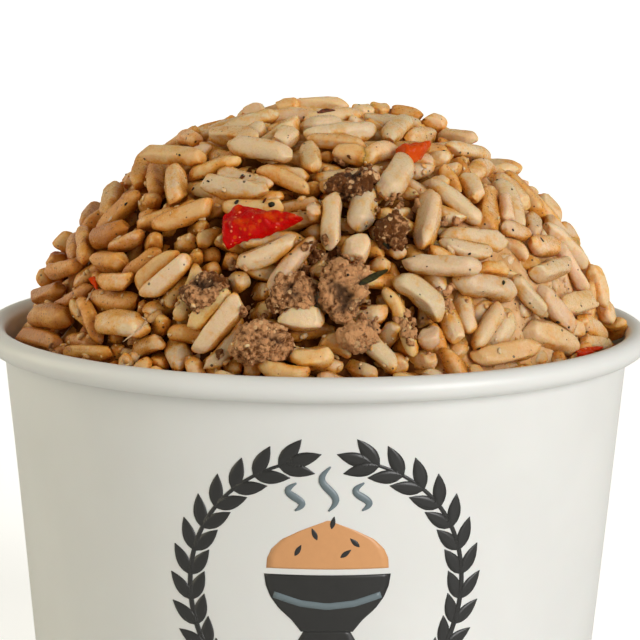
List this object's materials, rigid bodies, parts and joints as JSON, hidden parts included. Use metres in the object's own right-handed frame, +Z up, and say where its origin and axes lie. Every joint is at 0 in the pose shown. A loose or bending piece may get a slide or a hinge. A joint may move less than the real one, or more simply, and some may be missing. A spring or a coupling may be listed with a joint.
{
  "type": "bowl of dirty rice",
  "caption": "White paper food container heaped with dirty rice: long-grain rice, ground meat crumbles and red pepper, domed above a rolled rim.",
  "frame": {"origin": "centre of the foot ring's flat underside, on the surface that the container stands on", "axes": "+Z up along the container's axis, -Y towards the side that the picture shows"},
  "size_m": [0.096, 0.096, 0.0933],
  "materials": {
    "paper": "coated white paperboard, satin",
    "rice": "moist, satin, slightly translucent",
    "meat": "granular, moist",
    "pepper": "wet, glossy"
  },
  "bodies": {
    "root": {"cup_wall": "paper", "cup_base": "paper", "rice_heap": "rice", "red_pepper_front": "pepper", "red_pepper_top": "pepper", "meat_crumble_front": "meat", "meat_crumble_middle": "meat", "meat_crumble_pale": "meat", "meat_crumble_small": "meat", "meat_crumble_dark": "meat", "meat_crumble_upper": "meat", "meat_crumble_left": "meat"}
  },
  "joints": []
}
